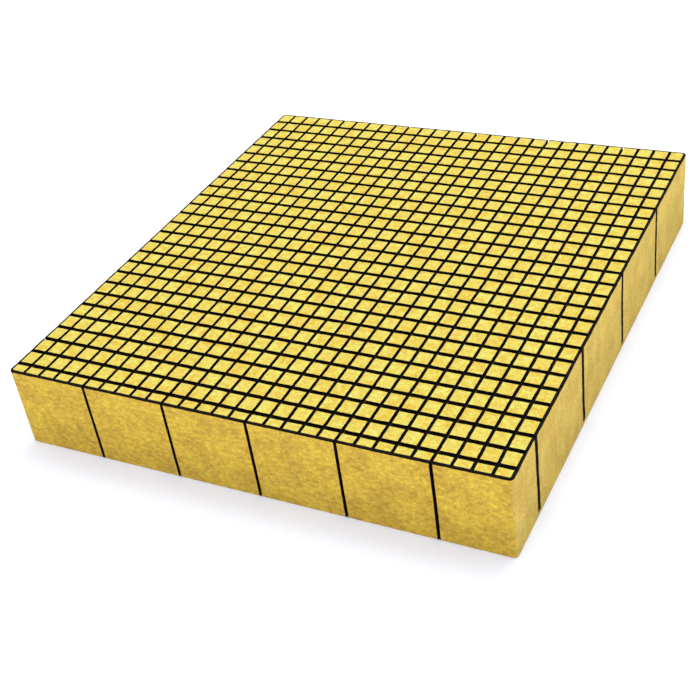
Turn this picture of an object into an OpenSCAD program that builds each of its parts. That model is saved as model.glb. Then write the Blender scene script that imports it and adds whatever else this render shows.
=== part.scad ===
// Floral foam slab, cut from above into portion blocks that stand on a thin uncut skin.
// The top is scored into a grid of guide squares. Every few squares a hot-wire cut runs down
// the middle of a score, through to the skin, and sets one block free from the next.
// Origin: middle of the underside. +X runs right along the front edge, +Y to the back, +Z up.

/* [Guide grid] */
// Pitch of the guide squares across the slab
square_w = 10; // [8:0.5:14]
// Pitch of the guide squares from front to back
square_d = 12; // [8:0.5:16]
// Depth of the trimmed row of squares along the front edge
front_square_d = 8; // [6:0.5:16]
// Number of squares across the slab
squares_across = 29; // [20:1:35]
// Number of squares from front to back, with the trimmed row
squares_deep = 27; // [20:1:35]
// Depth of a score in the top face
score_depth = 1.5; // [0.5:0.1:4]

/* [Lines] */
// Width of the scores that run from front to back
line_w = 1.9; // [1:0.1:3]
// Width of the scores that run across
cross_line_w = 2.8; // [1:0.1:3.6]
// Width of the wire's cuts, less than the width of the scores
cut_w = 1; // [0.4:0.1:1]

/* [Slab] */
// Thickness of the slab, with its skin
slab_h = 50; // [30:1:80]
// Thickness of the uncut skin that the blocks stand on
skin_h = 3; // [2:0.5:8]
// Chamfer along the slab's top edges
edge_chamfer = 0.5; // [0.2:0.1:1.2]
// How far the wire nicks the skin where it enters at the front edge and leaves at the back
nick_d = 1; // [0.5:0.5:6]

/* [Portion blocks] */
// Squares across one block; the last block to the right takes what is left over
block_across = 5; // [5:1:10]
// Squares from front to back in one block; the front row of blocks takes what is left over
block_deep = 6; // [5:1:10]

/* [Hidden] */
foam_colour = "#E9D05C";
skin_colour = "#C9AE4A";
row_letters = "abcdefg";

slab_w = squares_across * square_w;
slab_d = front_square_d + (squares_deep - 1) * square_d;
block_cols = ceil(squares_across / block_across);
block_rows = ceil(squares_deep / block_deep);

// Blocks are named by row from the front, a upwards, and by column from the left, 1 upwards.
function block_name(row, col) = str("block_", row_letters[row], col + 1);

// Number of squares left of a column of blocks, and in front of a row of blocks
function squares_left_of(col) = min(squares_across, col * block_across);
function squares_in_front_of(row) = max(0, squares_deep - (block_rows - row) * block_deep);

// Place of the grid line that has this many squares to its left, or in front of it
function line_x(count) = count * square_w - slab_w / 2;
function line_y(count) = (count == 0 ? 0 : front_square_d + (count - 1) * square_d) - slab_d / 2;

// Upright outline of the slab across a given length, with both top corners chamfered
module slab_profile(length) {
    shoulder = slab_h - edge_chamfer;
    crown = length / 2 - edge_chamfer;
    polygon([
        [-length / 2, 0], [length / 2, 0], [length / 2, shoulder],
        [crown, slab_h], [-crown, slab_h], [-length / 2, shoulder]
    ]);
}

// The whole uncut slab, chamfered along all four top edges
module whole_slab() {
    intersection() {
        rotate([90, 0, 0]) linear_extrude(slab_d, center = true) slab_profile(slab_w);
        rotate([90, 0, 90]) linear_extrude(slab_w, center = true) slab_profile(slab_d);
    }
}

// Space that one block takes up, between the middles of its cuts and back by half their width
module block_space(row, col) {
    left = line_x(squares_left_of(col)) + (col == 0 ? 0 : cut_w / 2);
    right = line_x(squares_left_of(col + 1)) - (col == block_cols - 1 ? 0 : cut_w / 2);
    front = line_y(squares_in_front_of(row)) + (row == 0 ? 0 : cut_w / 2);
    back = line_y(squares_in_front_of(row + 1)) - (row == block_rows - 1 ? 0 : cut_w / 2);
    translate([left, front, skin_h]) cube([right - left, back - front, slab_h]);
}

// Scores between the squares of one block, with its half of the scores that its cuts run in.
// They stop half a line short of the slab's edges, so a rim of that width runs round the top.
module block_scores(row, col) {
    score_across = slab_w - line_w;
    score_deep = slab_d - cross_line_w;
    floor_z = slab_h - score_depth;
    first_across = max(1, squares_left_of(col));
    last_across = min(squares_across - 1, squares_left_of(col + 1));
    first_deep = max(1, squares_in_front_of(row));
    last_deep = min(squares_deep - 1, squares_in_front_of(row + 1));
    for (count = [first_across : 1 : last_across])
        translate([line_x(count) - line_w / 2, -score_deep / 2, floor_z])
            cube([line_w, score_deep, slab_h]);
    for (count = [first_deep : 1 : last_deep])
        translate([-score_across / 2, line_y(count) - cross_line_w / 2, floor_z])
            cube([score_across, cross_line_w, slab_h]);
}

// One portion block, scored on top and free on all its sides down to the skin
module portion_block(row, col) {
    color(foam_colour)
        difference() {
            intersection() {
                whole_slab();
                block_space(row, col);
            }
            block_scores(row, col);
        }
}

// Uncut foam under the blocks, which keeps them in their places until they are lifted off.
// Each front-to-back cut nicks it through at both ends.
module base_skin() {
    color(skin_colour)
        difference() {
            translate([-slab_w / 2, -slab_d / 2, 0]) cube([slab_w, slab_d, skin_h]);
            for (col = [1 : 1 : block_cols - 1], end = [-1, 1])
                translate([line_x(squares_left_of(col)), end * slab_d / 2, skin_h / 2])
                    cube([cut_w, 2 * nick_d, 2 * skin_h], center = true);
        }
}

base_skin();
for (row = [0 : block_rows - 1], col = [0 : block_cols - 1])
    portion_block(row, col);
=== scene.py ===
"""A floral foam slab: thirty scored portion blocks standing on a thin uncut skin.

The slab lies on a white studio floor. Every block is cut from a plain cuboid, scored on top,
blackened along its lines and roughened like open-cell foam. The black in the scores and the cuts
is partly painted shade, and the foam's colour carries painted light on each way a face looks and
painted shade towards the slab's foot. The skin under the blocks is torn where they stood on it.
All lengths are in metres.
"""

from __future__ import annotations

import logging
import math
from dataclasses import dataclass
from enum import Enum
from typing import Callable, Sequence

import bpy
import numpy as np
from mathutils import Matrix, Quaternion, Vector

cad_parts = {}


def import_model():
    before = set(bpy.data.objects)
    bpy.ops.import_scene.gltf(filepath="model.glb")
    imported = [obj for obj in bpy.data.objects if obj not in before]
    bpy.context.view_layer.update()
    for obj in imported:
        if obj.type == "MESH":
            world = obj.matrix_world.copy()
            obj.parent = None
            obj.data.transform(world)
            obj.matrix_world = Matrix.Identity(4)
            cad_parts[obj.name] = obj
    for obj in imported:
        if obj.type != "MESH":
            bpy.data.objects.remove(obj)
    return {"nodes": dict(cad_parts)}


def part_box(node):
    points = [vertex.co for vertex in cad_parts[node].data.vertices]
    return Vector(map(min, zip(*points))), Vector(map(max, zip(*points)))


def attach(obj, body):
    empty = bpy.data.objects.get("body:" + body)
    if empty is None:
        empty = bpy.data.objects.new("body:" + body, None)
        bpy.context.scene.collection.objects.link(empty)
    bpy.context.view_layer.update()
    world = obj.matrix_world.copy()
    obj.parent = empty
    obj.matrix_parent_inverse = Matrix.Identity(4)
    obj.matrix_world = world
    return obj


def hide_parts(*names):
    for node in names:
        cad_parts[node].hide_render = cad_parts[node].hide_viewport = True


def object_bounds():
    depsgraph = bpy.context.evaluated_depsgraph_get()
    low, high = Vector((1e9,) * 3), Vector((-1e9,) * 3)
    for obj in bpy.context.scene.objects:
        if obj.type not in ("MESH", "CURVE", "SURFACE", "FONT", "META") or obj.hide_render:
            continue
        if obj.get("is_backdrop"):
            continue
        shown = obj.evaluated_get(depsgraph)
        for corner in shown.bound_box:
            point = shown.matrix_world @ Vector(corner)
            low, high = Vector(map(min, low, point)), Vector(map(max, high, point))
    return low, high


log = logging.getLogger("foam_slab")

MM = 0.001
NEAR = 0.02 * MM
"""Places closer together than this are the same place."""

Place = Callable[[np.ndarray, np.ndarray], np.ndarray]
"""Takes the centres and normals of all faces, or the two ends of all edges, one row each, and
says which of them are wanted."""

SQUARE_ON = 0.9
"""A face looks squarely along an axis if at least this share of its normal lies along it."""

PARTLY = 0.3
"""A face looks partly along an axis if at least this share of its normal lies along it."""

SIDEWAYS = 0.2
"""A face is upright if no more than this share of its normal points up or down."""

SMOOTH_BELOW = math.radians(35)
"""Edges that bend by less than this are shaded smooth."""


class Axis(Enum):
    """The three directions of the slab's frame."""

    ACROSS = 0
    DEEP = 1
    UP = 2

    @property
    def unit(self) -> Vector:
        """The axis as a unit vector."""
        return Vector([float(i == self.value) for i in range(3)])


class Slot(Enum):
    """Which of a piece's materials a face takes."""

    FOAM = 0
    INK = 1


# --------------------------------------------------------------------------------------
# Bench tools
# --------------------------------------------------------------------------------------


@dataclass
class Workpiece:
    """One mesh object on the bench, with the hand operations that shape it.

    Attributes:
        thing: The Blender object. It stays at the origin, unturned and unscaled.
    """

    thing: bpy.types.Object

    @classmethod
    def cuboid(cls, name: str, low: Vector, high: Vector) -> Workpiece:
        """Adds a cuboid between two corners.

        Args:
            name: Name of the object and its mesh.
            low: Lowest corner.
            high: Highest corner.

        Returns:
            The new workpiece, active and alone in the selection.
        """
        leave_edit_mode()
        bpy.ops.object.select_all(action="DESELECT")
        bpy.ops.mesh.primitive_cube_add(size=1.0, location=(low + high) / 2)
        thing = bpy.context.active_object
        thing.scale = high - low
        thing.name = thing.data.name = name
        bpy.ops.object.transform_apply(location=True, rotation=True, scale=True)
        return cls(thing)

    def take_up(self) -> None:
        """Makes this the only selected object, and the active one."""
        leave_edit_mode()
        bpy.ops.object.select_all(action="DESELECT")
        self.thing.select_set(True)
        bpy.context.view_layer.objects.active = self.thing

    def hand_in(self, node: str, slot: str) -> None:
        """Smooths the shading and lets the piece stand for its CAD node.

        Args:
            node: Name of the CAD node, which is also its body's.
            slot: Not used.
        """
        self.take_up()
        bpy.ops.object.shade_smooth_by_angle(angle=SMOOTH_BELOW)
        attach(self.thing, node)
        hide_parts(node)
        log.info("%s: %d faces", self.thing.name, len(self.thing.data.polygons))

    def slice_at(self, axis: Axis, places: Sequence[float]) -> None:
        """Cuts new edge loops through the whole mesh, without parting it.

        Args:
            axis: Direction that the cutting planes face.
            places: Coordinate of each plane along that axis.
        """
        self.take_up()
        bpy.ops.object.mode_set(mode="EDIT")
        for place in places:
            bpy.ops.mesh.select_all(action="SELECT")
            bpy.ops.mesh.bisect(plane_co=axis.unit * place, plane_no=axis.unit)
        bpy.ops.object.mode_set(mode="OBJECT")

    def face_places(self) -> tuple[np.ndarray, np.ndarray]:
        """Measures all faces.

        Returns:
            Their centres and their normals, one row each.
        """
        mesh = self.thing.data
        centres = np.empty(len(mesh.polygons) * 3, np.float32)
        normals = np.empty(len(mesh.polygons) * 3, np.float32)
        mesh.polygons.foreach_get("center", centres)
        mesh.polygons.foreach_get("normal", normals)
        return centres.reshape(-1, 3), normals.reshape(-1, 3)

    def corner_places(self) -> np.ndarray:
        """Measures all vertices.

        Returns:
            Their coordinates, one row each.
        """
        mesh = self.thing.data
        corners = np.empty(len(mesh.vertices) * 3, np.float32)
        mesh.vertices.foreach_get("co", corners)
        return corners.reshape(-1, 3)

    def pick_faces(self, wanted: Place) -> bool:
        """Selects the faces that lie in a place, and enters edit mode on them.

        Args:
            wanted: Test on the faces' centres and normals.

        Returns:
            Whether there are any.
        """
        self.take_up()
        mesh = self.thing.data
        picked = wanted(*self.face_places())
        mesh.vertices.foreach_set("select", np.zeros(len(mesh.vertices), bool))
        mesh.edges.foreach_set("select", np.zeros(len(mesh.edges), bool))
        mesh.polygons.foreach_set("select", picked)
        bpy.context.tool_settings.mesh_select_mode = (False, False, True)
        bpy.ops.object.mode_set(mode="EDIT")
        return bool(picked.any())

    def pick_edges(self, wanted: Place) -> bool:
        """Selects edges by their place, and enters edit mode on them.

        Args:
            wanted: Test on the coordinates of the edges' two ends.

        Returns:
            Whether there are any.
        """
        self.take_up()
        mesh = self.thing.data
        ends = np.empty(len(mesh.edges) * 2, np.int32)
        mesh.edges.foreach_get("vertices", ends)
        corners = self.corner_places()[ends.reshape(-1, 2)]
        picked = wanted(corners[:, 0], corners[:, 1])
        mesh.vertices.foreach_set("select", np.zeros(len(mesh.vertices), bool))
        mesh.polygons.foreach_set("select", np.zeros(len(mesh.polygons), bool))
        mesh.edges.foreach_set("select", picked)
        bpy.context.tool_settings.mesh_select_mode = (False, True, False)
        bpy.ops.object.mode_set(mode="EDIT")
        return bool(picked.any())

    def raise_faces(self, wanted: Place, height: float) -> None:
        """Extrudes the wanted faces straight up.

        Args:
            wanted: Test on the faces' centres and normals.
            height: How far they rise.
        """
        if self.pick_faces(wanted):
            bpy.ops.mesh.extrude_region_move(TRANSFORM_OT_translate={"value": (0, 0, height)})
        bpy.ops.object.mode_set(mode="OBJECT")

    def round_edges(self, wanted: Place, width: float, segments: int) -> None:
        """Bevels the wanted edges.

        Args:
            wanted: Test on the coordinates of the edges' two ends.
            width: How far the bevel reaches from the edge.
            segments: Number of faces across the bevel.
        """
        if self.pick_edges(wanted):
            bpy.ops.mesh.bevel(offset=width, segments=segments, affect="EDGES", clamp_overlap=True)
        bpy.ops.object.mode_set(mode="OBJECT")

    def merge(self) -> None:
        """Merges vertices that lie in the same place."""
        self.pick_faces(everywhere)
        bpy.ops.mesh.remove_doubles(threshold=NEAR)
        bpy.ops.object.mode_set(mode="OBJECT")

    def refine(self, wanted: Place, cuts: int) -> None:
        """Divides the wanted faces evenly.

        Args:
            wanted: Test on the faces' centres and normals.
            cuts: Number of cuts across each edge.
        """
        if self.pick_faces(wanted):
            bpy.ops.mesh.subdivide(number_cuts=cuts)
        bpy.ops.object.mode_set(mode="OBJECT")

    def blacken(self, wanted: Place) -> None:
        """Gives the wanted faces the ink, and all others the foam.

        Args:
            wanted: Test on the faces' centres and normals.
        """
        self.pick_faces(wanted)
        self.thing.active_material_index = Slot.INK.value
        bpy.ops.object.material_slot_assign()
        bpy.ops.object.mode_set(mode="OBJECT")

    def mark(self, group: str, weights: np.ndarray, levels: int = 10) -> None:
        """Stores a weight for each vertex in a named group.

        Args:
            group: Name of the vertex group.
            weights: One weight from 0 to 1 for each vertex.
            levels: How many levels above 0 the weights are rounded to.
        """
        made = self.thing.vertex_groups.new(name=group)
        rounded = np.round(np.clip(weights, 0, 1) * levels).astype(int)
        for level in range(1, levels + 1):
            members = np.flatnonzero(rounded == level)
            if len(members):
                made.add(members.tolist(), level / levels, "REPLACE")

    def pull(self, way: Callable[[np.ndarray], np.ndarray]) -> None:
        """Moves vertices to new places.

        Args:
            way: Takes the coordinates of all vertices and returns where they go.
        """
        self.take_up()
        self.thing.data.vertices.foreach_set("co", way(self.corner_places()).astype(np.float32).ravel())
        self.thing.data.update()

    def touching(self, axis: Axis) -> np.ndarray:
        """Finds the vertices of the faces that look along an axis, either way.

        Args:
            axis: The direction.

        Returns:
            True for each vertex of such a face.
        """
        mesh = self.thing.data
        _, normals = self.face_places()
        sizes = np.empty(len(mesh.polygons), np.int32)
        mesh.polygons.foreach_get("loop_total", sizes)
        owners = np.empty(len(mesh.loops), np.int32)
        mesh.loops.foreach_get("vertex_index", owners)
        looks = np.repeat(np.abs(normals[:, axis.value]) > SQUARE_ON, sizes)
        found = np.zeros(len(mesh.vertices), bool)
        found[owners[looks]] = True
        return found

    def wear(self, rough: Roughening) -> None:
        """Pushes the surface in and out by one layer of noise, and applies it.

        Args:
            rough: The layer.
        """
        self.take_up()
        layer = self.thing.modifiers.new(rough.name, "DISPLACE")
        layer.texture = rough.texture()
        layer.texture_coords = "GLOBAL"
        layer.direction = rough.direction
        layer.vertex_group = rough.group
        layer.strength = rough.height
        layer.mid_level = rough.middle
        bpy.ops.object.modifier_apply(modifier=layer.name)

    def copy_to(self, name: str, shift: Vector) -> Workpiece:
        """Copies this piece and its mesh to another place.

        Args:
            name: Name of the copy.
            shift: Way from this piece to the copy.

        Returns:
            The copy, with its place in its own mesh.
        """
        self.take_up()
        bpy.ops.object.duplicate(linked=False)
        thing = bpy.context.active_object
        thing.name = thing.data.name = name
        thing.location = shift
        bpy.ops.object.transform_apply(location=True, rotation=False, scale=False)
        return Workpiece(thing)


def leave_edit_mode() -> None:
    """Goes back to object mode from wherever the bench is."""
    if bpy.context.mode != "OBJECT":
        bpy.ops.object.mode_set(mode="OBJECT")


@dataclass(frozen=True)
class Roughening:
    """One layer of noise on a cut face.

    Attributes:
        name: Name of the layer and its texture.
        group: Vertices that it moves.
        direction: X, Y, Z or NORMAL.
        lump: Size of its lumps.
        height: How far it moves a point from its lowest to its highest value.
        middle: The value of the noise that leaves a point in its place.
        detail: Number of finer layers in the noise.
    """

    name: str
    group: str
    direction: str
    lump: float
    height: float
    middle: float = 0.5
    detail: int = 2

    def texture(self) -> bpy.types.Texture:
        """Makes the layer's noise, once for all the pieces.

        Returns:
            The texture that holds it.
        """
        made = bpy.data.textures.get(self.name)
        if made is None:
            made = bpy.data.textures.new(self.name, "CLOUDS")
            made.noise_scale = self.lump
            made.noise_depth = self.detail
        return made


# --------------------------------------------------------------------------------------
# Finishes
# --------------------------------------------------------------------------------------

Colour = tuple[float, float, float, float]


class Graph:
    """The nodes of one material, added and joined in short form."""

    def __init__(self, name: str) -> None:
        """Starts a material with nothing but its texture coordinates.

        Args:
            name: Name of the material.
        """
        self.material = bpy.data.materials.new(name)
        self.material.use_nodes = True
        self.tree = self.material.node_tree
        self.tree.nodes.clear()
        coords = self.tree.nodes.new("ShaderNodeTexCoord")
        self.place = coords.outputs["Object"]
        self.facing = coords.outputs["Normal"]

    def add(self, kind: str, **values: object) -> bpy.types.Node:
        """Adds a node.

        Args:
            kind: Its type without the ShaderNode prefix.
            **values: Properties of the node.

        Returns:
            The node.
        """
        node = self.tree.nodes.new("ShaderNode" + kind)
        for key, value in values.items():
            setattr(node, key, value)
        return node

    def feed(self, node: bpy.types.Node, **inputs: object) -> bpy.types.Node:
        """Sets or joins a node's inputs.

        Args:
            node: The node.
            **inputs: Input names with spaces as underscores, or i0, i1, ... for an input by
                number; each with a value or with the output that drives it.

        Returns:
            The same node.
        """
        for key, value in inputs.items():
            numbered = key[0] == "i" and key[1:].isdigit()
            socket = node.inputs[int(key[1:])] if numbered else node.inputs[key.replace("_", " ")]
            if isinstance(value, bpy.types.NodeSocket):
                self.tree.links.new(value, socket)
            else:
                socket.default_value = value
        return node

    def stretched(self, scale: tuple[float, float, float]) -> bpy.types.NodeSocket:
        """Returns the object's coordinates, scaled differently along each axis."""
        mapping = self.feed(self.add("Mapping"), Vector=self.place, Scale=scale)
        return mapping.outputs["Vector"]

    def noise(self, vector: bpy.types.NodeSocket, scale: float, detail: float) -> bpy.types.NodeSocket:
        """Returns smooth noise between 0 and 1."""
        node = self.feed(self.add("TexNoise"), Vector=vector, Scale=scale, Detail=detail)
        return node.outputs[0]

    def spread(self, value: bpy.types.NodeSocket, low: float, high: float,
               to_low: float = 0.0, to_high: float = 1.0) -> bpy.types.NodeSocket:
        """Stretches a value from one range to another, and holds it at the ends.

        Args:
            value: The value.
            low: Start of the first range.
            high: Its end.
            to_low: Start of the second range.
            to_high: Its end.

        Returns:
            The stretched value.
        """
        node = self.feed(self.add("MapRange"), Value=value)
        self.feed(node, From_Min=low, From_Max=high, To_Min=to_low, To_Max=to_high)
        return node.outputs[0]

    def size_of(self, value: bpy.types.NodeSocket) -> bpy.types.NodeSocket:
        """Returns a value without its sign."""
        return self.feed(self.add("Math", operation="ABSOLUTE"), i0=value).outputs[0]

    def average(self, share: float, first: bpy.types.NodeSocket,
                second: bpy.types.NodeSocket) -> bpy.types.NodeSocket:
        """Returns a mix of two values, with a fixed share of the second."""
        return self.feed(self.add("Mix"), i0=share, i2=first, i3=second).outputs[0]

    def blend(self, share: bpy.types.NodeSocket, first: object, second: object) -> bpy.types.NodeSocket:
        """Mixes two colours.

        Args:
            share: Share of the second colour.
            first: One colour, or the output that gives it.
            second: The other.

        Returns:
            The mixed colour.
        """
        node = self.add("Mix", data_type="RGBA", blend_type="MIX")
        self.feed(node, i0=share, i6=first, i7=second)
        return node.outputs[2]

    def shaded(self, colour: bpy.types.NodeSocket, share: bpy.types.NodeSocket) -> bpy.types.NodeSocket:
        """Changes the brightness of a colour.

        Args:
            colour: The colour.
            share: How much of its brightness is left.

        Returns:
            The new colour.
        """
        grey = self.feed(self.add("CombineColor"), Red=share, Green=share, Blue=share)
        product = self.add("Mix", data_type="RGBA", blend_type="MULTIPLY")
        return self.feed(product, i0=1.0, i6=colour, i7=grey.outputs[0]).outputs[2]

    def bump(self, height: bpy.types.NodeSocket, strength: float, depth: float) -> bpy.types.NodeSocket:
        """Returns the surface's normal, roughened by a height."""
        return self.feed(self.add("Bump"), Height=height, Strength=strength, Distance=depth).outputs[0]

    def finish(self, shader: bpy.types.Node) -> bpy.types.Material:
        """Joins a shader to the output.

        Args:
            shader: The shader's node.

        Returns:
            The finished material.
        """
        output = self.add("OutputMaterial")
        self.tree.links.new(shader.outputs[0], output.inputs["Surface"])
        return self.material


@dataclass(frozen=True)
class Lumps:
    """One layer of uneven colour.

    Attributes:
        scale: Lumps per metre along each axis.
        detail: Number of finer layers in it.
        softness: Half of the span of noise over which one colour gives way to the other.
    """

    scale: tuple[float, float, float]
    detail: float
    softness: float

    def on(self, g: Graph) -> bpy.types.NodeSocket:
        """Returns the layer in a material, as a value from 0 to 1."""
        noise = g.noise(g.stretched(self.scale), 1.0, self.detail)
        return g.spread(noise, 0.5 - self.softness, 0.5 + self.softness)


@dataclass(frozen=True)
class CutFaceWithPaintedLight:
    """How the foam is coloured on the faces that look one way: partly the grain of their cut and partly
    painted light, a brightness and tint set to the light on them.

    Attributes:
        light: The colour of its lightest places.
        deep: The colour of its deepest places.
        blotched: Share of the foam's blotches in its unevenness.
        lumps: The rest of its unevenness, its own.
    """

    light: Colour
    deep: Colour
    blotched: float
    lumps: Lumps

    def colour(self, g: Graph, blotch: bpy.types.NodeSocket) -> bpy.types.NodeSocket:
        """Returns its colour in a material."""
        tone = g.average(self.blotched, self.lumps.on(g), blotch)
        return g.blend(tone, self.deep, self.light)


@dataclass(frozen=True)
class Foam:
    """Open-cell floral foam: matt, powdery and pored, cut flat on top and by saw on its sides.
    Its colour is partly painted light, set to the light on each way that a face looks, and its sides
    carry painted shade towards the foot.

    Attributes:
        name: Name of the material.
        planed_with_painted_light: Top and underside; their colour is partly painted light, set to the light
            that falls on the top.
        sawn_with_painted_light: Faces to the front and the back, with streaks along the saw's way; their
            colour is partly painted light, set to the light that falls on them.
        sliced_with_painted_light: Faces to the left and the right, smoother, and paler and less yellow as
            painted light for the cool light that falls on them.
        turn: Share of the normal along an axis over which one facing's colour gives way to another's.
        blotch: Large blotches that all faces share.
        foot_shade: How much light is left in the colour at the slab's foot.
        height: Height over which the foot's shade fades.
        grain_scale: Grains per metre.
        grain_detail: Number of finer layers in the grain.
        grain_span: Values of the grain that count as its lowest and its highest.
        pore_scale: Pores per metre.
        pore_span: Distances from a pore's middle, in pores, at its floor and at its brim.
        pore_depth: Depth of a pore.
        pored: Share of the pores, next to the grain, in the speckle.
        speckle: Brightness of the speckle's darkest and lightest points.
        grain_height: Height of a grain, as a share of a pore's depth.
        bump: Strength of the grains' and the pores' relief.
        shine: Specular level.
        roughness: Least and greatest roughness.
    """

    name: str = "floral_foam"
    # Painted light: the three colour sets below are partly each cut's grain and partly set to the light that
    # falls on the faces that take them.
    planed_with_painted_light: CutFaceWithPaintedLight = CutFaceWithPaintedLight(
        light=(0.730, 0.690, 0.157, 1.0), deep=(0.690, 0.452, 0.052, 1.0), blotched=0.3,
        lumps=Lumps(scale=(260.0, 260.0, 260.0), detail=3.0, softness=0.15))
    sawn_with_painted_light: CutFaceWithPaintedLight = CutFaceWithPaintedLight(
        light=(0.86, 0.600, 0.072, 1.0), deep=(0.515, 0.300, 0.047, 1.0), blotched=0.4,
        lumps=Lumps(scale=(250.0, 250.0, 430.0), detail=5.0, softness=0.16))
    sliced_with_painted_light: CutFaceWithPaintedLight = CutFaceWithPaintedLight(
        light=(0.77, 0.560, 0.122, 1.0), deep=(0.585, 0.395, 0.082, 1.0), blotched=0.6,
        lumps=Lumps(scale=(260.0, 260.0, 40.0), detail=4.0, softness=0.20))
    turn: tuple[float, float] = (0.45, 0.75)
    blotch: Lumps = Lumps(scale=(62.0, 62.0, 62.0), detail=4.0, softness=0.14)
    foot_shade: float = 0.76
    height: float = 50 * MM
    grain_scale: float = 620.0
    grain_detail: float = 2.0
    grain_span: tuple[float, float] = (0.3, 0.7)
    pore_scale: float = 1250.0
    pore_span: tuple[float, float] = (0.05, 0.45)
    pore_depth: float = 0.22 * MM
    pored: float = 0.35
    speckle: tuple[float, float] = (0.72, 1.18)
    grain_height: float = 0.8
    bump: float = 0.5
    shine: float = 0.12
    roughness: tuple[float, float] = (0.85, 1.0)

    def material(self) -> bpy.types.Material:
        """Builds the material.

        Returns:
            The new material.
        """
        g = Graph(self.name)
        grain = g.noise(g.place, self.grain_scale, self.grain_detail)
        pores = g.feed(g.add("TexVoronoi"), Vector=g.place, Scale=self.pore_scale)
        pits = g.spread(pores.outputs["Distance"], *self.pore_span)
        speckle = g.average(self.pored, g.spread(grain, *self.grain_span), pits)
        colour = g.shaded(self.body(g), g.spread(speckle, 0.0, 1.0, *self.speckle))
        height = g.feed(g.add("Math", operation="MULTIPLY_ADD"), i0=grain, i1=self.grain_height, i2=pits)
        shader = g.add("BsdfPrincipled")
        g.feed(shader, Base_Color=colour, Specular_IOR_Level=self.shine,
               Normal=g.bump(height.outputs[0], self.bump, self.pore_depth),
               Roughness=g.spread(grain, *self.grain_span, *self.roughness))
        return g.finish(shader)

    def body(self, g: Graph) -> bpy.types.NodeSocket:
        """Colours the foam by the way that a face looks, with painted light and painted shade.

        Args:
            g: The material that the colour is for.

        Returns:
            The foam's colour, before its speckle.
        """
        facing = g.feed(g.add("SeparateXYZ"), Vector=g.facing)
        # Painted light: the colour changes with the way a face looks, partly for each cut's grain and partly
        # for the light on the top, the front and back, and the left and right.
        up_facing = g.spread(g.size_of(facing.outputs["Z"]), *self.turn)
        across_facing = g.spread(g.size_of(facing.outputs["X"]), *self.turn)
        blotch = self.blotch.on(g)
        sides = g.blend(across_facing, self.sawn_with_painted_light.colour(g, blotch), self.sliced_with_painted_light.colour(g, blotch))
        # Painted shade: the sides darken towards the slab's foot, as if the floor shaded them.
        up = g.feed(g.add("SeparateXYZ"), Vector=g.place).outputs["Z"]
        sides = g.shaded(sides, g.spread(up, 0.0, self.height, self.foot_shade, 1.0))
        return g.blend(up_facing, sides, self.planed_with_painted_light.colour(g, blotch))


@dataclass(frozen=True)
class ScoreInkAndShade:
    """The black that the hot wire leaves in a line: soot and ink, and in the scores and cuts also painted
    shade; matt, a little uneven.

    Attributes:
        name: Name of the material.
        black: Its main colour.
        brown: Its colour on the highest grains.
        brown_span: Values of the grain over which the brown comes in.
        grain_scale: Grains per metre.
        grain_detail: Number of finer layers in the grain.
        grain_span: Values of the grain that count as its lowest and its highest.
        grain_depth: Height of a grain.
        bump: Strength of the grains' relief.
        shine: Specular level.
        roughness: Least and greatest roughness.
    """

    name: str = "score_ink_and_shade"
    black: Colour = (0.004, 0.003, 0.003, 1.0)
    brown: Colour = (0.014, 0.009, 0.006, 1.0)
    brown_span: tuple[float, float] = (0.4, 0.75)
    grain_scale: float = 900.0
    grain_detail: float = 3.0
    grain_span: tuple[float, float] = (0.3, 0.7)
    grain_depth: float = 0.1 * MM
    bump: float = 0.3
    shine: float = 0.08
    roughness: tuple[float, float] = (0.7, 0.95)

    def material(self) -> bpy.types.Material:
        """Builds the material.

        Returns:
            The new material.
        """
        g = Graph(self.name)
        grain = g.noise(g.place, self.grain_scale, self.grain_detail)
        shader = g.add("BsdfPrincipled")
        g.feed(shader, Base_Color=g.blend(g.spread(grain, *self.brown_span), self.black, self.brown),
               Specular_IOR_Level=self.shine, Normal=g.bump(grain, self.bump, self.grain_depth),
               Roughness=g.spread(grain, *self.grain_span, *self.roughness))
        return g.finish(shader)


# --------------------------------------------------------------------------------------
# The slab
# --------------------------------------------------------------------------------------

CORNER_ROUND = 2.4 * MM
"""Rounding of the slab's upright corners, the same on the skin and on the blocks over it."""


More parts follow.
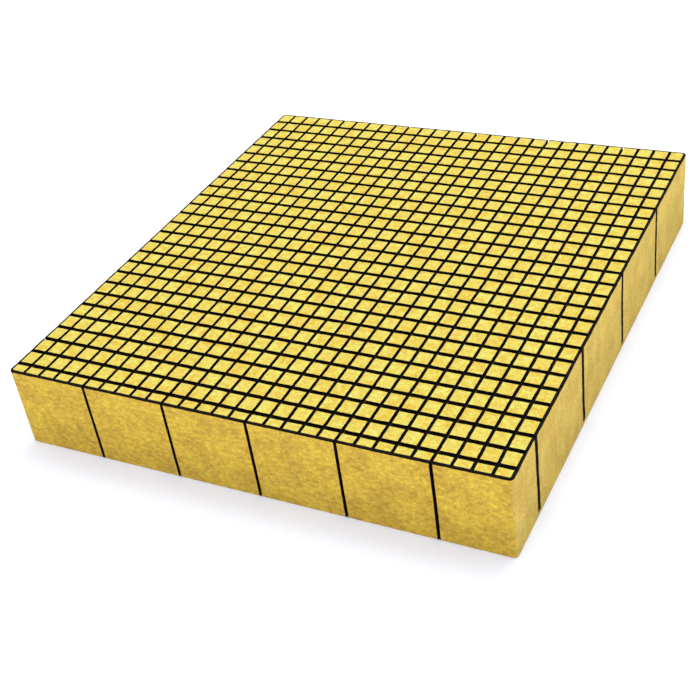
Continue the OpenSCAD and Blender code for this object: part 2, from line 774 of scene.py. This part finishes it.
@dataclass(frozen=True)
class GuideGrid:
    """The scored grid, laid out on the slab's own box.

    Attributes:
        low: The slab's lowest corner.
        high: The slab's highest corner.
        square_w: Pitch of the squares across the slab.
        square_d: Pitch of the squares from front to back.
        front_square_d: Depth of the trimmed front row.
        line_w: Width of the lines that run from front to back.
        cross_line_w: Width of the lines that run across.
        score_depth: Depth of a score.
    """

    low: Vector
    high: Vector
    square_w: float = 10 * MM
    square_d: float = 12 * MM
    front_square_d: float = 8 * MM
    line_w: float = 1.9 * MM
    cross_line_w: float = 2.8 * MM
    score_depth: float = 1.5 * MM

    @property
    def floor_z(self) -> float:
        """Height of the bottom of a score."""
        return self.high.z - self.score_depth

    def lines(self, axis: Axis) -> np.ndarray:
        """Lays out the inner grid lines along one axis.

        Args:
            axis: The direction.

        Returns:
            The middle of each line.
        """
        if axis is Axis.ACROSS:
            return np.arange(self.low.x + self.square_w, self.high.x - NEAR, self.square_w)
        first = self.low.y + self.front_square_d
        return np.arange(first, self.high.y - NEAR, self.square_d)

    def width(self, axis: Axis) -> float:
        """Returns the width of the lines that lie side by side along one axis."""
        return self.line_w if axis is Axis.ACROSS else self.cross_line_w

    def scores_in(self, axis: Axis, low: Vector, high: Vector) -> np.ndarray:
        """Finds a block's scores along one axis, with those that its cuts run in.

        Args:
            axis: The direction.
            low: The block's lowest corner.
            high: Its highest corner.

        Returns:
            The middle of each score.
        """
        middles = self.lines(axis)
        half = self.width(axis) / 2
        return middles[(middles > low[axis.value] - half) & (middles < high[axis.value] + half)]

    def to_edge(self, axis: Axis, places: np.ndarray) -> np.ndarray:
        """Returns how far places along one axis are from the slab's nearer outer face."""
        i = axis.value
        return np.minimum(np.abs(places - self.low[i]), np.abs(places - self.high[i]))

    def rounded(self, places: np.ndarray) -> np.ndarray:
        """Draws the slab's upright corners in, so that each becomes a quarter circle.

        Args:
            places: Coordinates, one row each.

        Returns:
            The same places, those near a corner moved towards the middle of its circle.
        """
        middle = np.array((self.low + self.high)[:2]) / 2
        straight = np.array((self.high - self.low)[:2]) / 2 - CORNER_ROUND
        away = places[:, :2] - middle
        beyond = np.maximum(np.abs(away) - straight, 0)
        share = beyond.max(axis=1) / np.maximum(np.linalg.norm(beyond, axis=1), NEAR)
        at_corner = beyond.min(axis=1) > 0
        moved = middle + np.sign(away) * (straight + beyond * share[:, None])
        result = places.copy()
        result[at_corner, :2] = moved[at_corner]
        return result

    def at_corner(self, places: np.ndarray) -> np.ndarray:
        """Says which places lie at one of the slab's rounded corners."""
        beside = self.to_edge(Axis.ACROSS, places[:, 0]) < CORNER_ROUND
        return beside & (self.to_edge(Axis.DEEP, places[:, 1]) < CORNER_ROUND)


def everywhere(centres: np.ndarray, normals: np.ndarray) -> np.ndarray:
    """Picks every face."""
    return np.ones(len(centres), bool)


def ramp(values: np.ndarray, start: float, end: float) -> np.ndarray:
    """Returns weights that rise from 0 to 1 as the values go from start to end."""
    return np.clip((values - start) / (end - start), 0, 1)


def upright(first: np.ndarray, second: np.ndarray) -> np.ndarray:
    """Picks the upright edges."""
    return np.all(np.abs(first[:, :2] - second[:, :2]) < NEAR, axis=1)


def depth_inside(places: np.ndarray, low: Vector, high: Vector) -> np.ndarray:
    """Measures how far inside a box's plan places lie.

    Args:
        places: Coordinates, one row each.
        low: The box's lowest corner.
        high: Its highest corner.

    Returns:
        One distance for each place, negative outside the box.
    """
    to_low = places[:, :2] - np.array(low[:2])
    to_high = np.array(high[:2]) - places[:, :2]
    return np.minimum(to_low, to_high).min(axis=1)


@dataclass
class Finishes:
    """The slab's two materials.

    Attributes:
        foam: The foam.
        ink: The black of its lines, which in the scores and the cuts is partly painted shade.
    """

    foam: bpy.types.Material
    ink: bpy.types.Material

    def put_on(self, piece: Workpiece, inked: Place) -> None:
        """Puts both materials on a piece and blackens its lines.

        Args:
            piece: The piece.
            inked: Test for the faces that the black covers, both ink and painted shade.
        """
        piece.thing.data.materials.append(self.foam)
        piece.thing.data.materials.append(self.ink)
        piece.blacken(inked)


@dataclass
class BlockShape:
    """One shape of portion block, cut and scored where the first block of that shape stands.

    Attributes:
        grid: The guide grid.
        low: Lowest corner of the block.
        high: Highest corner of the block.
        edge_round: Rounding along the slab's top edges.
        mouth_round: Rounding where a cut opens in an outer face.
        border_ink: Width on top of the lines along the slab's left and right edges, and along
            its front and back edges.
        mouth_ink: Width of the inked lips beside a cut on the front and back faces, and on the
            left and right faces.
        ink_drop: How far those lines reach down the outer faces.
        ink_and_shade_depth: How far down and in the black reaches into a cut, partly soaked ink and partly
            painted shade.
        pitch: Largest spacing of points, before the last division in two.
        still_foot: Height over which the sides' roughness fades out towards the skin.
        torn_from: How far in from its sides the block's foot begins to be torn, and is so fully.
    """

    grid: GuideGrid
    low: Vector
    high: Vector
    edge_round: float = 0.5 * MM
    mouth_round: float = 0.15 * MM
    border_ink: tuple[float, float] = (1.5 * MM, 1.5 * MM)
    mouth_ink: tuple[float, float] = (0.4 * MM, 1.4 * MM)
    ink_drop: float = 0.8 * MM
    ink_and_shade_depth: float = 2.5 * MM
    pitch: float = 2.5 * MM
    still_foot: float = 4 * MM
    torn_from: tuple[float, float] = (1.2 * MM, 4.2 * MM)

    def outer(self, axis: Axis) -> tuple[bool, bool]:
        """Says whether the low and the high face along an axis are faces of the slab."""
        i = axis.value
        return (abs(self.low[i] - self.grid.low[i]) < NEAR, abs(self.high[i] - self.grid.high[i]) < NEAR)

    def key(self) -> tuple:
        """Returns what two blocks of the same shape have in common."""
        size = self.high - self.low
        return (round(size.x / MM, 2), round(size.y / MM, 2), self.outer(Axis.ACROSS), self.outer(Axis.DEEP))

    def make(self, name: str, finishes: Finishes) -> Workpiece:
        """Cuts the block out of a cuboid.

        Args:
            name: Name of the object.
            finishes: The slab's materials.

        Returns:
            The scored block, blackened with ink and with painted shade, before it is roughened.
        """
        grid = self.grid
        piece = Workpiece.cuboid(name, self.low, Vector((self.high.x, self.high.y, grid.floor_z)))
        for axis in (Axis.ACROSS, Axis.DEEP):
            piece.slice_at(axis, self.score_sides(axis) + self.rim_sides(axis))
        piece.raise_faces(self.between_scores, grid.score_depth)
        piece.round_edges(self.top_rim_edges, self.edge_round, segments=2)
        piece.round_edges(self.cut_mouth_edges, self.mouth_round, segments=1)
        piece.merge()
        for axis in (Axis.ACROSS, Axis.DEEP):
            piece.slice_at(axis, self.ink_sides(axis) + self.mesh_lines(axis))
        ink_and_shade_ends = [self.high.z - self.ink_drop, self.high.z - self.ink_and_shade_depth]
        piece.slice_at(Axis.UP, ink_and_shade_ends + self.height_lines())
        finishes.put_on(piece, self.inked)
        piece.refine(everywhere, cuts=1)
        piece.pull(grid.rounded)
        self.mark_vertices(piece)
        return piece

    def score_sides(self, axis: Axis) -> list[float]:
        """Finds both sides of every score in the block.

        Args:
            axis: The direction.

        Returns:
            Their coordinates along it.
        """
        half, i = self.grid.width(axis) / 2, axis.value
        sides = [float(m + s) for m in self.grid.scores_in(axis, self.low, self.high) for s in (-half, half)]
        return [side for side in sides if self.low[i] + NEAR < side < self.high[i] - NEAR]

    def rim_sides(self, axis: Axis) -> list[float]:
        """Finds the inner side of the slab's rim, where the block has a part of it.

        Args:
            axis: The direction.

        Returns:
            Its coordinates along it, if there are any.
        """
        half, i = self.grid.width(axis) / 2, axis.value
        at_low, at_high = self.outer(axis)
        return [self.low[i] + half] * at_low + [self.high[i] - half] * at_high

    def ink_sides(self, axis: Axis) -> list[float]:
        """Finds where the ink ends along an outer face and beside a cut's mouth, and where the black inside a
        cut, partly painted shade, ends.

        Args:
            axis: The direction.

        Returns:
            Coordinates along it.
        """
        i = axis.value
        at_low, at_high = self.outer(axis)
        ends = []
        for reach in (self.border_ink[i], self.ink_and_shade_depth):
            ends += [self.low[i] + reach] * at_low + [self.high[i] - reach] * at_high
        other = Axis.DEEP if axis is Axis.ACROSS else Axis.ACROSS
        if any(self.outer(other)):
            ends += [self.low[i] + self.mouth_ink[i]] * (not at_low)
            ends += [self.high[i] - self.mouth_ink[i]] * (not at_high)
        return ends

    def mesh_lines(self, axis: Axis) -> list[float]:
        """Lays further lines between the scores, close enough for the foam's roughness.

        Args:
            axis: The direction.

        Returns:
            Coordinates along it.
        """
        i = axis.value
        stops = sorted({self.low[i], self.high[i], *self.score_sides(axis), *self.rim_sides(axis)})
        found = []
        for start, end in zip(stops, stops[1:]):
            parts = max(1, round((end - start) / self.pitch))
            found += [start + (end - start) * n / parts for n in range(1, parts)]
        return found

    def height_lines(self) -> list[float]:
        """Lays level lines from the block's foot to the bottom of its scores.

        Returns:
            Their heights.
        """
        count = math.ceil((self.grid.floor_z - self.low.z) / self.pitch)
        step = (self.grid.floor_z - self.low.z) / count
        return [self.low.z + step * n for n in range(1, count + 1)]

    def in_score(self, centres: np.ndarray) -> np.ndarray:
        """Finds the places over a score, inside the slab's rim.

        Args:
            centres: Coordinates, one row each.

        Returns:
            True for each such place.
        """
        found = np.zeros(len(centres), bool)
        inside = np.ones(len(centres), bool)
        for axis in (Axis.ACROSS, Axis.DEEP):
            half = self.grid.width(axis) / 2
            along = centres[:, axis.value]
            inside &= self.grid.to_edge(axis, along) > half
            for middle in self.grid.scores_in(axis, self.low, self.high):
                found |= np.abs(along - middle) < half
        return found & inside

    def between_scores(self, centres: np.ndarray, normals: np.ndarray) -> np.ndarray:
        """Picks the faces of the top that stay at full height."""
        return (normals[:, 2] > SQUARE_ON) & ~self.in_score(centres)

    def top_rim_edges(self, first: np.ndarray, second: np.ndarray) -> np.ndarray:
        """Picks the slab's top edges.

        Args:
            first: One end of each edge.
            second: The other end.

        Returns:
            True for each edge that is one.
        """
        level = (np.abs(first[:, 2] - self.high.z) < NEAR) & (np.abs(second[:, 2] - self.high.z) < NEAR)
        along = np.zeros(len(first), bool)
        for axis in (Axis.ACROSS, Axis.DEEP):
            starts_there = self.grid.to_edge(axis, first[:, axis.value]) < NEAR
            along |= starts_there & (self.grid.to_edge(axis, second[:, axis.value]) < NEAR)
        return level & along

    def cut_mouth_edges(self, first: np.ndarray, second: np.ndarray) -> np.ndarray:
        """Picks the upright edges where a cut opens in an outer face.

        Args:
            first: One end of each edge.
            second: The other end.

        Returns:
            True for each edge that is one.
        """
        picked = np.zeros(len(first), bool)
        for axis, other in ((Axis.ACROSS, Axis.DEEP), (Axis.DEEP, Axis.ACROSS)):
            at_cut = np.zeros(len(first), bool)
            for end, is_outer in zip((self.low, self.high), self.outer(axis)):
                if not is_outer:
                    at_cut |= np.abs(first[:, axis.value] - end[axis.value]) < NEAR
            picked |= at_cut & (self.grid.to_edge(other, first[:, other.value]) < NEAR)
        return picked & upright(first, second)

    def inked(self, centres: np.ndarray, normals: np.ndarray) -> np.ndarray:
        """Picks the faces that the black covers: ink on the rim and the lips, and in the scores and the cuts
        black that is partly char and partly painted shade.

        Args:
            centres: Centres of all faces.
            normals: Their normals.

        Returns:
            True for each face that it covers.
        """
        x_edge = self.grid.to_edge(Axis.ACROSS, centres[:, 0])
        y_edge = self.grid.to_edge(Axis.DEEP, centres[:, 1])
        down = self.high.z - centres[:, 2]
        wall = np.abs(normals[:, 2]) < SIDEWAYS
        outer_face = self.grid.at_corner(centres)
        outer_face |= (x_edge < NEAR) & (np.abs(normals[:, 0]) > SQUARE_ON)
        outer_face |= (y_edge < NEAR) & (np.abs(normals[:, 1]) > SQUARE_ON)
        rim = ((x_edge < self.border_ink[0]) | (y_edge < self.border_ink[1])) & (down < self.ink_drop)
        # The scores' floors and walls and the black inside the cuts are partly the wire's char and partly
        # painted shade, as dark as the shade in these narrow gaps; the rim and the lips are the lines' real
        # black.
        score_floor = (normals[:, 2] > SIDEWAYS) & (down > self.grid.score_depth / 2)
        score_wall = wall & ~outer_face & (centres[:, 2] > self.grid.floor_z)
        ink_and_shade_reach = (down < self.ink_and_shade_depth) | (np.minimum(x_edge, y_edge) < self.ink_and_shade_depth)
        cut_ink_and_shade = wall & self.beside_cut(centres, normals) & ink_and_shade_reach
        lip = (x_edge < self.mouth_round + NEAR) & self.near_cut(Axis.DEEP, centres)
        lip |= (y_edge < self.mouth_round + NEAR) & self.near_cut(Axis.ACROSS, centres)
        return rim | score_floor | score_wall | cut_ink_and_shade | (wall & lip)

    def beside_cut(self, centres: np.ndarray, normals: np.ndarray) -> np.ndarray:
        """Picks the faces that look into a cut, with the roundings at its mouth.

        Args:
            centres: Centres of all faces.
            normals: Their normals.

        Returns:
            True for each such face.
        """
        found = np.zeros(len(centres), bool)
        for axis in (Axis.ACROSS, Axis.DEEP):
            i = axis.value
            for end, is_outer in zip((self.low, self.high), self.outer(axis)):
                if not is_outer:
                    at_cut = np.abs(centres[:, i] - end[i]) < self.mouth_round
                    found |= at_cut & (np.abs(normals[:, i]) > PARTLY)
        return found

    def near_cut(self, axis: Axis, centres: np.ndarray) -> np.ndarray:
        """Picks the faces within the inked lip of a cut that bounds the block.

        Args:
            axis: Direction across the cut.
            centres: Centres of all faces.

        Returns:
            True for each such face.
        """
        i = axis.value
        found = np.zeros(len(centres), bool)
        for end, is_outer in zip((self.low, self.high), self.outer(axis)):
            if not is_outer:
                found |= np.abs(centres[:, i] - end[i]) < self.mouth_ink[i]
        return found

    def mark_vertices(self, piece: Workpiece) -> None:
        """Groups the vertices by the way that the foam's roughness may move them.

        Args:
            piece: The block.
        """
        corners = piece.corner_places()
        foot = corners[:, 2] < self.low.z + NEAR
        rise = ramp(corners[:, 2], self.low.z, self.low.z + self.still_foot)
        piece.mark("across", piece.touching(Axis.ACROSS) * rise)
        piece.mark("deep", piece.touching(Axis.DEEP) * rise)
        piece.mark("top", piece.touching(Axis.UP) & ~foot)
        piece.mark("foot", foot * ramp(depth_inside(corners, self.low, self.high), *self.torn_from))


@dataclass
class PortionBlocks:
    """All the blocks. Each shape is cut once and copied to its other places.

    Attributes:
        grid: The guide grid.
        names: Names of the blocks' CAD nodes.
        finishes: The slab's materials.
        layers: The layers of roughness, applied to every block at its own place.
    """

    grid: GuideGrid
    names: Sequence[str]
    finishes: Finishes
    layers: Sequence[Roughening] = (
        Roughening("swell_across", "across", "X", 22 * MM, 0.5 * MM),
        Roughening("swell_deep", "deep", "Y", 22 * MM, 0.5 * MM),
        Roughening("lumps_across", "across", "X", 2.6 * MM, 0.36 * MM),
        Roughening("lumps_deep", "deep", "Y", 2.6 * MM, 0.36 * MM),
        Roughening("lumps_top", "top", "Z", 3.4 * MM, 0.3 * MM),
        Roughening("torn_foot", "foot", "Z", 3.5 * MM, 1.4 * MM, middle=0.0),
    )

    def build(self) -> None:
        """Makes every block and fixes it to its body."""
        patterns: dict[tuple, tuple[Workpiece, Vector]] = {}
        made: list[tuple[Workpiece, str]] = []
        for name in self.names:
            low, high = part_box(name)
            shape = BlockShape(self.grid, low, high)
            if shape.key() not in patterns:
                patterns[shape.key()] = (shape.make("pattern_" + name, self.finishes), low)
            pattern, at = patterns[shape.key()]
            made.append((pattern.copy_to(name + "_foam", low - at), name))
        for pattern, _ in patterns.values():
            bpy.data.objects.remove(pattern.thing)
        for piece, name in made:
            self.finish(piece, name)

    def finish(self, piece: Workpiece, name: str) -> None:
        """Roughens one block, and lets it stand for its CAD node.

        Args:
            piece: The block in its place.
            name: Its CAD node, which has the same name as its body.
        """
        for layer in self.layers:
            piece.wear(layer)
        piece.hand_in(name, "block_foam")


@dataclass
class BaseSkin:
    """The uncut skin, torn where each block stood and blackened where the wire ran; the black on its bed and
    in its nicks is partly painted shade.

    Attributes:
        grid: The guide grid.
        low: The skin's lowest corner.
        high: Its highest corner.
        blocks: Lowest and highest corner of each block that stands on it.
        finishes: The slab's materials.
        wire_depth: How deep the wire marks it between the blocks.
        nick_d: How far the wire nicks it through at the front and at the back.
        lip: Width of the inked lips beside a nick.
        bottom_round: Rounding along the slab's bottom edges.
        foot_cuts: Cuts across each footprint for the torn foam.
        torn_from: How far in from a block's sides the skin begins to be torn, and is so fully.
        torn: The torn foam, below the skin's face.
    """

    grid: GuideGrid
    low: Vector
    high: Vector
    blocks: Sequence[tuple[Vector, Vector]]
    finishes: Finishes
    wire_depth: float = 0.4 * MM
    nick_d: float = 1.0 * MM
    lip: float = 0.4 * MM
    bottom_round: float = 0.8 * MM
    foot_cuts: int = 19
    torn_from: tuple[float, float] = (0.3 * MM, 3.3 * MM)
    torn: Roughening = Roughening("torn_skin", "torn", "Z", 3.5 * MM, -1.0 * MM, middle=0.0)

    def build(self) -> None:
        """Makes the skin and fixes it to its body."""
        bed = Vector((self.high.x, self.high.y, self.high.z - self.wire_depth))
        piece = Workpiece.cuboid("base_skin_foam", self.low, bed)
        piece.round_edges(upright, CORNER_ROUND, segments=5)
        piece.round_edges(self.bottom_edges, self.bottom_round, segments=2)
        for axis in (Axis.ACROSS, Axis.DEEP):
            piece.slice_at(axis, self.footprint_ends(axis))
        lips = [side for start, end in self.cuts() for side in (start - self.lip, end + self.lip)]
        piece.slice_at(Axis.ACROSS, lips)
        self.nick(piece)
        piece.merge()
        piece.raise_faces(self.footprint, self.wire_depth)
        self.finishes.put_on(piece, self.wire_marks_and_shade)
        piece.refine(self.footprint, self.foot_cuts)
        corners = piece.corner_places()
        piece.mark("torn", (corners[:, 2] > self.high.z - NEAR) * ramp(self.inward(corners), *self.torn_from))
        piece.wear(self.torn)
        piece.hand_in("base_skin", "skin_foam")

    def footprint_ends(self, axis: Axis) -> list[float]:
        """Finds where the blocks' footprints begin and end, inside the skin.

        Args:
            axis: The direction.

        Returns:
            Coordinates along it.
        """
        i = axis.value
        ends = sorted({round(corner[i] / MM, 3) * MM for block in self.blocks for corner in block})
        return [end for end in ends if self.low[i] + NEAR < end < self.high[i] - NEAR]

    def cuts(self) -> list[tuple[float, float]]:
        """Finds both sides of every cut that runs from front to back.

        Returns:
            The left and the right side of each cut, from left to right.
        """
        starts = sorted({round(high.x / MM, 3) * MM for _, high in self.blocks})[:-1]
        ends = sorted({round(low.x / MM, 3) * MM for low, _ in self.blocks})[1:]
        return list(zip(starts, ends))

    def nick(self, piece: Workpiece) -> None:
        """Cuts the wire's nicks through the skin's front and back edges.

        Args:
            piece: The skin.
        """
        for start, end in self.cuts():
            for y in (self.low.y, self.high.y):
                reach = Vector(((end - start) / 2, self.nick_d, self.high.z))
                middle = Vector(((start + end) / 2, y, self.low.z))
                cutter = Workpiece.cuboid("nick", middle - reach, middle + reach)
                piece.take_up()
                step = piece.thing.modifiers.new("nick", "BOOLEAN")
                step.object = cutter.thing
                step.operation = "DIFFERENCE"
                bpy.ops.object.modifier_apply(modifier=step.name)
                bpy.data.objects.remove(cutter.thing)

    def inward(self, places: np.ndarray) -> np.ndarray:
        """Returns how far inside a block's footprint places lie, negative between the blocks."""
        return np.max([depth_inside(places, *block) for block in self.blocks], axis=0)

    def footprint(self, centres: np.ndarray, normals: np.ndarray) -> np.ndarray:
        """Picks the upper faces that a block stands on."""
        return (self.inward(centres) > 0) & (normals[:, 2] > SQUARE_ON)

    def wire_marks_and_shade(self, centres: np.ndarray, normals: np.ndarray) -> np.ndarray:
        """Picks the faces that take the black: the wire's bed and nicks, where it is partly char and partly
        painted shade, and the nicks' lips.

        Args:
            centres: Centres of all faces.
            normals: Their normals.

        Returns:
            True for each such face.
        """
        # The bed between the blocks and the nicks' walls are partly the wire's char and partly painted shade,
        # as dark as the shade deep in the cuts; the lips are the lines' real black.
        bed = (normals[:, 2] > SQUARE_ON) & (centres[:, 2] < self.high.z - self.wire_depth / 2)
        inside = depth_inside(centres, self.low, self.high) > NEAR
        wall = (np.abs(normals[:, 2]) < SIDEWAYS) & inside & ~self.grid.at_corner(centres)
        lip = np.zeros(len(centres), bool)
        for start, end in self.cuts():
            lip |= (centres[:, 0] > start - self.lip) & (centres[:, 0] < end + self.lip)
        return bed | wall | (lip & (np.abs(normals[:, 1]) > PARTLY))

    def bottom_edges(self, first: np.ndarray, second: np.ndarray) -> np.ndarray:
        """Picks the edges of the underside."""
        return (first[:, 2] < self.low.z + NEAR) & (second[:, 2] < self.low.z + NEAR)


# --------------------------------------------------------------------------------------
# The studio
# --------------------------------------------------------------------------------------


@dataclass
class Studio:
    """A white floor, soft light from above and behind, and a camera to the slab's front right.

    Attributes:
        sky: Strength of the light that comes from all round.
        key_watts: Power of the large lamp.
        key_size: Side of the lamp.
        key_place: Where the lamp hangs.
        floor_side: Side of the floor.
        floor_white: The floor's colour.
        floor_glow: The light that the floor, a sheet lit from below, gives off itself.
        sensor_mm: Width of the camera's sensor.
        focal_mm: Its focal length.
        aim: Point that the camera looks at.
        azimuth: The camera's angle to the right of the front, in degrees.
        elevation: Its angle above the horizon, in degrees.
        distance: Its distance from that point.
        roll: How far it leans to the side, in degrees.
    """

    sky: float = 1.0
    key_watts: float = 9.4
    key_size: float = 0.9
    key_place: tuple[float, float, float] = (0.1, 0.6, 1.65)
    floor_side: float = 14.0
    floor_white: Colour = (0.94, 0.95, 0.96, 1.0)
    floor_glow: Colour = (0.07, 0.11, 0.23, 1.0)
    sensor_mm: float = 36.0
    focal_mm: float = 64.15
    aim: tuple[float, float, float] = (0.0116, -0.0600, 0.0250)
    azimuth: float = 30.98
    elevation: float = 35.36
    distance: float = 0.699
    roll: float = -8.83

    def build(self) -> None:
        """Sets up the camera, the floor and the light."""
        bpy.context.scene.view_settings.view_transform = "Standard"
        self.place_camera()
        self.lay_floor()
        self.light()
        log.info("studio ready")

    def place_camera(self) -> None:
        """Adds the scene's camera."""
        turn, lift = math.radians(self.azimuth), math.radians(self.elevation)
        back = Vector((math.sin(turn) * math.cos(lift), -math.cos(turn) * math.cos(lift), math.sin(lift)))
        data = bpy.data.cameras.new("camera")
        data.sensor_width = self.sensor_mm
        data.lens = self.focal_mm
        camera = bpy.data.objects.new("camera", data)
        bpy.context.scene.collection.objects.link(camera)
        camera.rotation_mode = "QUATERNION"
        camera.location = Vector(self.aim) + back * self.distance
        level = (-back).to_track_quat("-Z", "Y")
        camera.rotation_quaternion = level @ Quaternion((0, 0, 1), math.radians(self.roll))
        bpy.context.scene.camera = camera

    def lay_floor(self) -> None:
        """Adds the floor under the slab."""
        leave_edit_mode()
        bpy.ops.object.select_all(action="DESELECT")
        bpy.ops.mesh.primitive_plane_add(size=self.floor_side, location=(0, 0, 0))
        floor = bpy.context.active_object
        floor.name = "floor"
        g = Graph("studio_white")
        sheet = g.feed(g.add("BsdfPrincipled"), Base_Color=self.floor_white, Roughness=1.0,
                       Specular_IOR_Level=0.0, Emission_Color=self.floor_glow, Emission_Strength=1.0)
        floor.data.materials.append(g.finish(sheet))
        floor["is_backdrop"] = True

    def light(self) -> None:
        """Adds the light from all round and the lamp."""
        world = bpy.data.worlds.new("studio")
        world.use_nodes = True
        sky = world.node_tree.nodes["Background"]
        sky.inputs["Color"].default_value = (1.0, 1.0, 1.0, 1.0)
        sky.inputs["Strength"].default_value = self.sky
        bpy.context.scene.world = world
        data = bpy.data.lights.new("overhead", "AREA")
        data.energy = self.key_watts
        data.size = self.key_size
        lamp = bpy.data.objects.new("overhead", data)
        lamp.location = self.key_place
        lamp.rotation_mode = "QUATERNION"
        lamp.rotation_quaternion = (-Vector(self.key_place)).to_track_quat("-Z", "Y")
        bpy.context.scene.collection.objects.link(lamp)


def main() -> None:
    """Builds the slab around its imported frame, part by part."""
    logging.basicConfig(level=logging.INFO, format="%(name)s: %(message)s")
    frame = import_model()
    cad_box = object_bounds()
    blocks = sorted(name for name in frame["nodes"] if name.startswith("block_"))
    grid = GuideGrid(*cad_box)
    finishes = Finishes(foam=Foam().material(), ink=ScoreInkAndShade().material())
    Studio().build()
    BaseSkin(grid, *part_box("base_skin"), [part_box(name) for name in blocks], finishes).build()
    PortionBlocks(grid, blocks, finishes).build()


if __name__ == "__main__":
    main()
